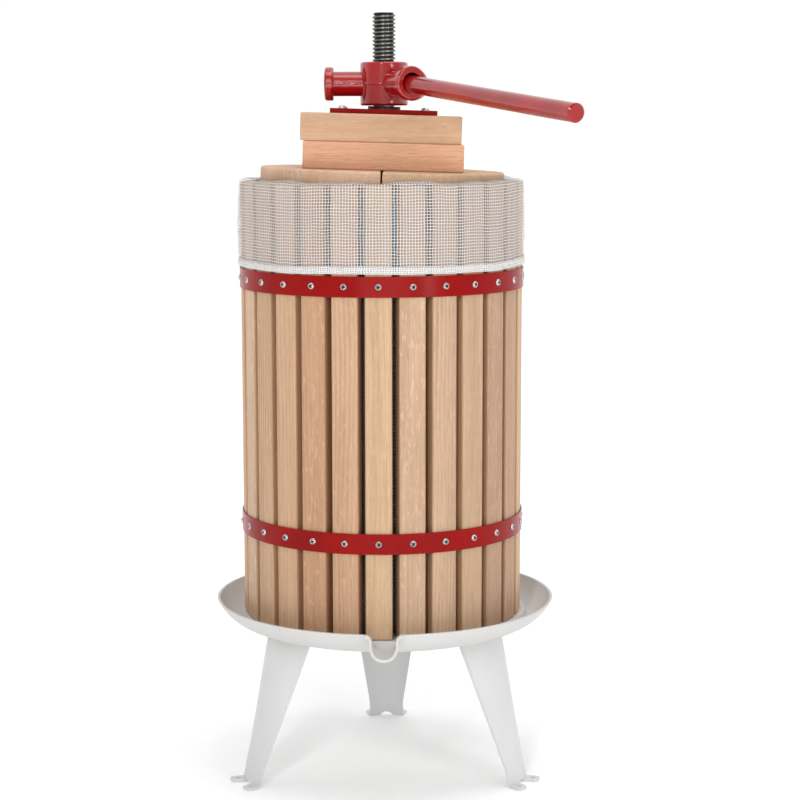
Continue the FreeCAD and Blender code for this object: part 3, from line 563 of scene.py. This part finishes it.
def screw_group(name, node, frames, sizes, materials, body):
    """Screws at several frames, each (origin, out, side, up, spin), with painted shade in the
    cross.
    """
    radius, dome, shank, length = sizes
    head, head_faces = head_patch(radius, dome, RECESS_DEPTH * dome)
    pin, pin_faces = shank_rings(shank, length)
    one_screw = [int(in_recess(face, head, radius)) for face in head_faces] + [0] * len(pin_faces)
    points = []
    faces = []
    for origin, out, side, up, spin in frames:
        spin_c = math.cos(spin)
        spin_s = math.sin(spin)
        for part, part_faces in ((head, head_faces), (pin, pin_faces)):
            base = len(points)
            for height, a, b in part:
                turned_a = a * spin_c - b * spin_s
                turned_b = a * spin_s + b * spin_c
                points.append(origin + out * height + side * turned_a + up * turned_b)
            faces += [tuple(base + index for index in face) for face in part_faces]
    made = mesh_object(name, points, faces, materials[0], body)
    made.data.materials.append(materials[1])
    made.data.polygons.foreach_set("material_index", one_screw * len(frames))
    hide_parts(node)


def hoop_screw_frames(level):
    """One screw on each slat, square to the hoop, each turned its own way."""
    low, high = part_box(f"hoop_{level}")
    radius = (high.y - low.y) / 2.0
    centre = np.array([BASKET_X, 0.0, (low.z + high.z) / 2.0])
    up = np.array([0.0, 0.0, 1.0])
    frames = []
    for number in range(len(STAVES)):
        angle = FRONT + STAVE_TURN + FULL_TURN * number / len(STAVES)
        out = np.array(around_axis(1.0, angle, 0.0))
        side = np.array([-math.sin(angle), math.cos(angle), 0.0])
        spin = HOOP_SPIN_STEP * number + FIRST_SPIN[level]
        frames.append((centre + out * radius, out, side, up, spin))
    return frames


def plate_screw_frames():
    """The plate leans about the middle of its top, and its screws stand square to it."""
    lean_c = math.cos(STACK_LEAN)
    lean_s = math.sin(STACK_LEAN)
    top_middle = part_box("thrust_plate")[1].z - PLATE_HALF_WIDTH * lean_s
    out = np.array([lean_s, 0.0, lean_c])
    across = np.array([lean_c, 0.0, -lean_s])
    back = np.array([0.0, 1.0, 0.0])
    frames = []
    for number, (x, y) in enumerate(((-1, -1), (1, -1), (1, 1), (-1, 1))):
        origin = np.array([0.0, 0.0, top_middle]) + PLATE_SCREW_REACH * (x * across + y * back)
        spin = PLATE_SPIN_STEP * number + PLATE_FIRST_SPIN
        frames.append((origin, out, across, back, spin))
    return frames


# ---------------------------------------------------------------- pressing bag


# Metres. The fold outside the slats; its creases slant by radians from bottom to top.
FOLD_RADIUS = 0.1497
FOLD_FLARE = 0.0006
FOLD_SLACK = 0.0010
FOLD_CREASE = 0.0004
CREASE_SLANT = 3.0
# The fold's lower edge and the hem sewn round it; its UV rows stand a step further apart.
HEM_HEIGHT = 0.5424
HEM_RISE = 0.0012
HEM_WOBBLE = 0.0014
HEM_WIDTH = 0.0075
HEM_INSET = 0.0008
HEM_RUFFLE = 0.0008
HEM_UV_STEP = 0.001
# The turn over the slat tops.
CROWN_LOWEST = 0.6312
CROWN_HEIGHT = 0.6322
CROWN_WOBBLE = 0.0024
CROWN_RADIUS = 0.1406
CROWN_HALF_WIDTH = 0.0092
CROWN_ROUND = 0.0025
# The lining, and the part of the floor that the bag covers.
LINING_RADIUS = 0.1312
LINING_SAG = 0.0004
LINING_FOOT = 0.1771
FLOOR_RADIUS = 0.1300
FLOOR_HOLE = 0.0275
FLOOR_HEIGHT = 0.1760
# The cloth laid flat: round the press, and from the hem to the floor hole.
BAG_COLUMNS = 324
# Seeds of the bag's waves, how many waves its crown has, and what brings their sum to about 1.
HEM_SEED = 11
CROWN_SEED = 5
SLACK_SEED = 23
CREASE_SEED = 31
RUFFLE_SEED = 47
CROWN_WAVES = 9
WAVE_SUM = 3.2


def waves(angle, seed, count=6):
    """A smooth closed wobble round the press, mostly from -1 to 1."""
    random = np.random.default_rng(seed)
    total = 0.0
    for number in range(1, count + 1):
        order = int(random.integers(2, 6)) + 3 * number
        total += math.sin(order * angle + random.uniform(0.0, FULL_TURN)) / number ** 0.5
    return total / WAVE_SUM


def hem_edge(angle):
    """Height of the fold's lower edge, a little higher at the right."""
    right = max(0.0, math.cos(angle)) ** 3
    return HEM_HEIGHT + HEM_RISE * right + HEM_WOBBLE * waves(angle, HEM_SEED)


def bag_profile(angle):
    """(radius, height) from the hem, over the slat tops, down the lining to the floor hole."""
    wobble = CROWN_WOBBLE * waves(angle, CROWN_SEED, CROWN_WAVES)
    shoulder = max(CROWN_LOWEST, CROWN_HEIGHT + wobble) - CROWN_ROUND
    edge = hem_edge(angle)
    slack = FOLD_SLACK * (1.0 + waves(angle, SLACK_SEED))
    fold_steps, crown_steps, lining_steps, floor_steps = 18, 8, 28, 10
    path = []
    for step in range(fold_steps + 1):
        share = step / fold_steps
        crease = FOLD_CREASE * waves(angle + CREASE_SLANT * share, CREASE_SEED)
        bulge = slack * math.sin(math.pi * share) + crease
        path.append((FOLD_RADIUS + bulge + FOLD_FLARE * (1.0 - share),
                     edge + (shoulder - edge) * share))
    for step in range(1, crown_steps):
        turn = math.pi * step / crown_steps
        path.append((CROWN_RADIUS + CROWN_HALF_WIDTH * math.cos(turn),
                     shoulder + CROWN_ROUND * math.sin(turn)))
    for step in range(lining_steps + 1):
        share = step / lining_steps
        path.append((LINING_RADIUS - LINING_SAG * math.sin(math.pi * share),
                     shoulder + (LINING_FOOT - shoulder) * share))
    for step in range(1, floor_steps + 1):
        share = step / floor_steps
        path.append((FLOOR_RADIUS + (FLOOR_HOLE - FLOOR_RADIUS) * share, FLOOR_HEIGHT))
    return path


def bag_hem(profiles, material):
    """The sewn band along the fold's lower edge."""
    # Shares of the hem's width and distances outward, once round the outside of the band.
    stations = ((0.0, 0.0008), (0.0, 0.0017), (0.5, 0.0022), (1.0, 0.0017), (1.0, 0.0008))
    points = []
    uv = []
    for row, (share, out) in enumerate(stations):
        for column in range(BAG_COLUMNS + 1):
            angle = FULL_TURN * (column % BAG_COLUMNS) / BAG_COLUMNS
            radius = profiles[column % BAG_COLUMNS][0][0] + out - HEM_INSET
            ruffle = HEM_RUFFLE * waves(angle, RUFFLE_SEED) * share
            height = hem_edge(angle) + HEM_WIDTH * share + ruffle
            points.append(round_basket(radius, angle, height))
            uv.append((FOLD_RADIUS * FULL_TURN * column / BAG_COLUMNS,
                       HEM_WIDTH * share + HEM_UV_STEP * row))
    faces = grid_faces(len(stations), BAG_COLUMNS + 1)
    hem = mesh_object("bag_hem", points, faces, material, "basket", uv=uv)
    return hem


def press_bag(net_material, hem_material):
    """The bag as one sheet of open net, folded over the slats, with a sewn hem."""
    profiles = [bag_profile(FULL_TURN * column / BAG_COLUMNS) for column in range(BAG_COLUMNS)]
    rows = len(profiles[0])
    points = []
    uv = []
    lengths = np.zeros(BAG_COLUMNS + 1)
    for row in range(rows):
        for column in range(BAG_COLUMNS + 1):
            angle = FULL_TURN * column / BAG_COLUMNS
            profile = profiles[column % BAG_COLUMNS]
            radius, height = profile[row]
            if row:
                above = profile[row - 1]
                lengths[column] += math.hypot(radius - above[0], height - above[1])
            points.append(round_basket(radius, angle, height))
            uv.append((FOLD_RADIUS * angle, lengths[column]))
    faces = grid_faces(rows, BAG_COLUMNS + 1)
    bag = mesh_object("net_bag", points, faces, net_material, "basket", uv=uv)
    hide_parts("press_bag")
    hem = bag_hem(profiles, hem_material)


# ---------------------------------------------------------------- casting seams


# The nut's hub and sockets, the sizes of their parting lines and the seeds of their roughness.
HUB_RADIUS = 25.0 * MM
SOCKET_RADIUS = 12.8 * MM
SOCKET_START = 24.5 * MM
SOCKET_END = 52.2 * MM
HUB_SEAM = 1.05 * MM
SOCKET_SEAM = 0.8 * MM
HUB_SEEDS = 60
SOCKET_SEEDS = 70
# Shares of a seam's size: its thinnest swell, what chance adds, its wander and its height.
SEAM_THIN = 0.75
SEAM_CHANCE = 0.5
SEAM_WANDER = 0.5
SEAM_HEIGHT = 0.8
# The share of that height at a seam's ends, and how it grows with each point from them.
SEAM_END = 0.35
SEAM_FADE = 1.0 / 3.0
# How far a seam's edges lie under the casting's surface.
SEAM_SINK = 0.1 * MM


def seam(name, line, outward, size, material, seed):
    """A raised rough parting line on the nut: a low half-round ridge along points of it."""
    random = np.random.default_rng(seed)
    last = len(line) - 1
    points = []
    spokes = 7
    for index, (point, out) in enumerate(zip(line, outward)):
        ahead = np.array(line[min(index + 1, last)]) - np.array(line[max(index - 1, 0)])
        ahead /= np.linalg.norm(ahead)
        side = np.cross(ahead, out)
        swell = size * (SEAM_THIN + SEAM_CHANCE * random.random())
        drift = size * SEAM_WANDER * (random.random() - 0.5)
        taper = min(1.0, SEAM_END + min(index, last - index) * SEAM_FADE)
        for spoke in range(spokes):
            angle = math.pi * spoke / (spokes - 1)
            rise = swell * SEAM_HEIGHT * taper * math.sin(angle) - SEAM_SINK
            points.append(np.array(point) + side * (swell * math.cos(angle) + drift)
                          + np.array(out) * rise)
    made = mesh_object(name, points, grid_faces(len(line), spokes), material, "press_nut")


def nut_seams(material):
    """Parting lines of the casting: round the hub and along both sides of each socket."""
    low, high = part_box("press_nut")
    height = (low.z + high.z) / 2.0
    gap = math.asin(SOCKET_RADIUS / HUB_RADIUS)
    hub_steps, socket_steps = 26, 16
    for number in range(SOCKET_COUNT):
        centre = FRONT + SOCKET_TURN + SOCKET_STEP * number
        start = centre + gap
        stop = centre + SOCKET_STEP - gap
        turns = [start + (stop - start) * step / hub_steps for step in range(hub_steps + 1)]
        line = [around_axis(HUB_RADIUS, turn, height) for turn in turns]
        outward = [around_axis(1.0, turn, 0.0) for turn in turns]
        seam(f"hub_seam_{number + 1}", line, outward, HUB_SEAM, material, HUB_SEEDS + number)
        along = np.array(around_axis(1.0, centre, 0.0))
        for index, label in enumerate(("left", "right")):
            across = np.array([-math.sin(centre), math.cos(centre), 0.0]) * (2.0 * index - 1.0)
            line = []
            for step in range(socket_steps + 1):
                reach = SOCKET_START + (SOCKET_END - SOCKET_START) * step / socket_steps
                line.append(along * reach + across * SOCKET_RADIUS + np.array([0, 0, height]))
            seam(f"socket_seam_{number + 1}_{label}", line, [across] * len(line), SOCKET_SEAM,
                 material, SOCKET_SEEDS + 2 * number + index)


# ---------------------------------------------------------------- dress the CAD nodes


# Tones of the front slat and those to its right, and then of those to its left, ending beside it.
RIGHT_SLATS = (linear(209, 176, 141),
               linear(203, 170, 141),
               linear(198, 165, 136),
               linear(198, 165, 135),
               linear(183, 149, 123),
               linear(190, 154, 128))
LEFT_SLATS = (linear(207, 175, 146),
              linear(200, 165, 132),
              linear(203, 165, 133),
              linear(195, 153, 121),
              linear(206, 167, 136))
SLAT_FLECKS = (0.15, 0.45, 0.25)
SLAT_RINGS = (0.75, 0.35, 0.5)
# Half discs: side, tone and seed.
DISCS = (("left", linear(222, 185, 157), 41),
         ("right", linear(211, 177, 145), 43))
# Blocks: level, tone, strength of the rings and seed of the front one.
BEAMS = (("upper", linear(211, 172, 139), 0.75, 50),
         ("lower", linear(222, 171, 137), 0.95, 52))


def dress_basket():
    """Each slat gets its own wood, turned to face outward."""
    count = len(STAVES)
    for number, node in enumerate(STAVES):
        turn = FRONT + STAVE_TURN + FULL_TURN * number / count
        on_right = number < count // 2
        tones = RIGHT_SLATS if on_right else LEFT_SLATS
        from_front = number if on_right else number - count
        material = wood(f"slat_wood_{number + 1:02d}", tones[from_front % len(tones)],
                        number + 1, turn, fleck=SLAT_FLECKS[number % 3],
                        ring=SLAT_RINGS[(number + 1) % 3], side_at=STAVE_HALF_WIDTH)
        paint_node(node, material)


def dress_boards():
    """The half discs and the blocks, all with the grain from left to right."""
    for side, tone, seed in DISCS:
        paint_node(f"half_disc_{side}", wood(f"board_wood_{side}", tone, seed, 0.0, "X"))
    for level, tone, ring, seed in BEAMS:
        for offset, end in enumerate(("front", "back")):
            material = wood(f"block_wood_{level}_{end}", tone, seed + offset, 0.0, "X",
                            fleck=0.15, ring=ring)
            paint_node(f"{level}_beam_{end}", material)


def dress_metal():
    """Paint, enamel and steel, and the spindle, screws and casting lines made here."""
    paint = red_paint("red_powder_coat", linear(140, 6, 4), shine=0.0)
    bar_paint = red_paint("red_bar_coat", linear(150, 9, 9), shine=0.6)
    cast = red_paint("red_cast_coat", linear(158, 12, 13), shine=0.9, cast=0.2)
    zinc = steel("zinc_steel", (0.36, 0.36, 0.36), rough=0.27)
    bright = steel("screw_steel", (0.62, 0.61, 0.60), rough=0.24)
    # Painted shade: the near-black steel that fills each screw's cross recess, where shade falls.
    grime_and_shade = steel("recess_shade", (0.05, 0.045, 0.04), rough=0.5, grime_and_shade=0.5)
    # Painted shade: the thrust washer is near black so that it reads as the shadow line between the
    # nut and the plate.
    dark = steel("shaded_washer_steel", (0.06, 0.055, 0.05), rough=0.36, grime_and_shade=0.5)
    tray = enamel("tray_enamel", linear(208, 207, 205), gloss=0.46)
    leg = enamel("leg_paint", linear(213, 214, 213), gloss=0.4)
    finishes = ((paint, ("hoop_upper", "hoop_lower", "thrust_plate")),
                (bar_paint, ("handle_bar",)),
                (cast, ("press_nut",)),
                (tray, ("drip_tray",)),
                (leg, ("leg_back", "leg_front_left", "leg_front_right")),
                (zinc, ("leg_bolts", "leg_nuts", "spindle_washer_upper", "spindle_washer_lower",
                        "spindle_nut_upper", "spindle_nut_lower")),
                (dark, ("thrust_washer",)))
    for material, nodes in finishes:
        for node in nodes:
            paint_node(node, material)
    cut_spindle(thread_steel(SPINDLE_RADIUS, SPINDLE_RADIUS - THREAD_DEPTH))
    nut_seams(cast)
    for level in ("upper", "lower"):
        screw_group(f"hoop_screw_heads_{level}", f"hoop_screws_{level}", hoop_screw_frames(level),
                    HOOP_SCREW, (bright, grime_and_shade), "basket")
    screw_group("plate_screw_heads", "thrust_plate_screws", plate_screw_frames(),
                PLATE_SCREW, (bright, grime_and_shade), "boards")


# ---------------------------------------------------------------- studio


# The floor glows a little, less under the press than away from it.
FLOOR_SIZE = 400.0
FLOOR_LEVEL = -0.2 * MM
GLOW_NEAR = 0.15
GLOW_FAR = 1.4
GLOW_WEAKEST = 0.12
GLOW_STRONGEST = 0.42
# The surroundings are brighter behind the press than in front; the camera sees them white.
BACKDROP_WHITE = 1.03
FRONT_LIGHT = 0.40
# Name, place, size and watts.
LAMPS = (("key", (-0.55, -2.5, 1.6), (0.22, 1.1), 20.0),
         ("fill", (1.6, -2.1, 1.0), (0.4, 1.7), 13.0),
         ("low", (0.1, -2.6, 0.3), (1.8, 0.3), 4.5),
         ("top", (0.3, -0.3, 2.6), (1.8, 1.0), 15.0))
LAMP_TARGET = Vector((0.0, 0.0, 0.45))
CAMERA_PLACE = (0.0166, -2.1485, 0.6998)
CAMERA_TILT = math.radians(81.97)
CAMERA_ROLL = 0.001
CAMERA_LENS = 91.39
SENSOR_WIDTH = 36.0


def pale_floor():
    bpy.ops.mesh.primitive_plane_add(size=FLOOR_SIZE, location=(0.0, 0.0, FLOOR_LEVEL))
    floor = bpy.context.object
    floor.name = "floor"
    s = Shader("pale_floor")
    grain = s.noise(s.place, scale=30.0, detail=3.0)
    glow = s.range(s.reach(s.place), GLOW_NEAR, GLOW_FAR, to_low=GLOW_WEAKEST,
                   to_high=GLOW_STRONGEST, smooth=True)
    s.set(Base_Color=s.ramp(grain, [(0.3, (0.90, 0.90, 0.90)), (0.7, (0.93, 0.93, 0.93))]),
          Roughness=0.95,
          Specular_IOR_Level=0.1,
          Emission_Color=(1.0, 1.0, 1.0, 1.0),
          Emission_Strength=glow)
    s.material.cycles.emission_sampling = "NONE"
    floor.data.materials.append(s.material)


def surroundings():
    world = bpy.data.worlds.new("studio")
    bpy.context.scene.world = world
    world.use_nodes = True
    tree = world.node_tree
    background = tree.nodes["Background"]
    apart = tree.nodes.new("ShaderNodeSeparateXYZ")
    tree.links.new(tree.nodes.new("ShaderNodeTexCoord").outputs["Generated"], apart.inputs[0])
    fade = tree.nodes.new("ShaderNodeMapRange")
    for name, number in (("From Min", -0.35), ("From Max", 0.1),
                         ("To Min", FRONT_LIGHT), ("To Max", BACKDROP_WHITE)):
        fade.inputs[name].default_value = number
    tree.links.new(apart.outputs["Y"], fade.inputs["Value"])
    seen = tree.nodes.new("ShaderNodeMix")
    light_path = tree.nodes.new("ShaderNodeLightPath")
    tree.links.new(light_path.outputs["Is Camera Ray"], seen.inputs["Factor"])
    tree.links.new(fade.outputs[0], seen.inputs["A"])
    seen.inputs["B"].default_value = BACKDROP_WHITE
    tree.links.new(seen.outputs["Result"], background.inputs["Strength"])
    background.inputs["Color"].default_value = (1.0, 1.0, 1.0, 1.0)
    bpy.context.scene.view_settings.view_transform = "Standard"


def lamps():
    for name, place, spread, power in LAMPS:
        data = bpy.data.lights.new(name, "AREA")
        data.shape = "RECTANGLE"
        data.size, data.size_y = spread
        data.energy = power
        lamp = bpy.data.objects.new(name, data)
        bpy.context.scene.collection.objects.link(lamp)
        lamp.location = place
        aim = LAMP_TARGET - lamp.location
        lamp.rotation_euler = aim.to_track_quat("-Z", "Y").to_euler()


def photo_camera():
    data = bpy.data.cameras.new("camera")
    data.lens = CAMERA_LENS
    data.sensor_width = SENSOR_WIDTH
    camera = bpy.data.objects.new("camera", data)
    camera.location = CAMERA_PLACE
    camera.rotation_euler = (CAMERA_TILT, CAMERA_ROLL, 0.0)
    bpy.context.scene.collection.objects.link(camera)
    bpy.context.scene.camera = camera


dress_basket()
dress_boards()
dress_metal()
press_bag(net("bag_net", pitch=3.0 * MM, yarn=0.88 * MM, tone=(0.84, 0.84, 0.83)),
          hem_cloth(tone=(0.82, 0.82, 0.81)))
pale_floor()
surroundings()
lamps()
photo_camera()
